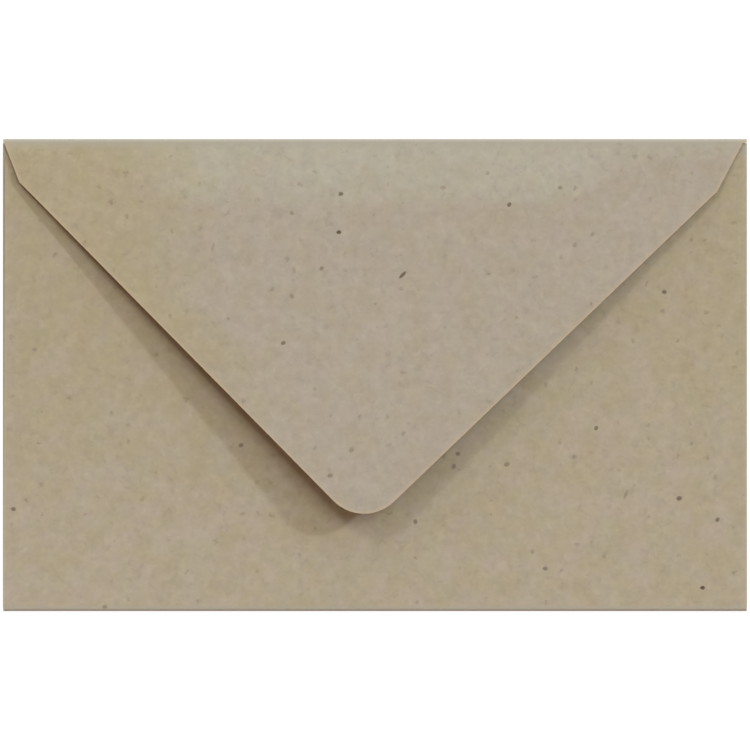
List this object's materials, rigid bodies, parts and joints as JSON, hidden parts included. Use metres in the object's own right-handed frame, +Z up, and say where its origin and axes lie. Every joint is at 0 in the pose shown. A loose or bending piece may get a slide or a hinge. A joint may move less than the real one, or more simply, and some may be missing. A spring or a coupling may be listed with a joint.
{
  "type": "kraft paper envelope",
  "caption": "Small kraft paper envelope with a deep pointed gummed flap that turns at its crease, side flaps glued under a full-width back panel, and an open empty pocket.",
  "frame": {"origin": "on the table under the middle of the envelope, at the underside of the front panel", "axes": "+X along the flap crease, to the right as one looks at the back of the envelope with its flap at the top; +Y from the bottom fold towards the flap crease; +Z up, away from the table"},
  "size_m": [0.175, 0.111, 0.0092],
  "materials": {
    "kraft_paper": "matt recycled kraft with soft mottling, short fibres and dark specks",
    "seam_glue": "thin pale dried glue",
    "seal_gum": "thin glossy dried gum, slightly amber"
  },
  "bodies": {
    "pocket": {"front_panel": "kraft_paper", "left_side_fold": "kraft_paper", "right_side_fold": "kraft_paper", "bottom_fold": "kraft_paper", "flap_crease": "kraft_paper", "left_side_flap": "kraft_paper", "right_side_flap": "kraft_paper", "back_panel": "kraft_paper", "left_seam_glue": "seam_glue", "right_seam_glue": "seam_glue"},
    "flap": {"seal_flap": "kraft_paper", "flap_gum": "seal_gum"}
  },
  "joints": [
    {"name": "flap_hinge", "type": "hinge", "parent": "pocket", "child": "flap", "pos_m": [0, 0.05469, 0.00081], "axis": [-1, 0, 0], "range_deg": [-5, 175], "stiffness_Nm_per_rad": 0.02, "springref_deg": 1.29, "deforming": ["flap_crease"]}
  ]
}
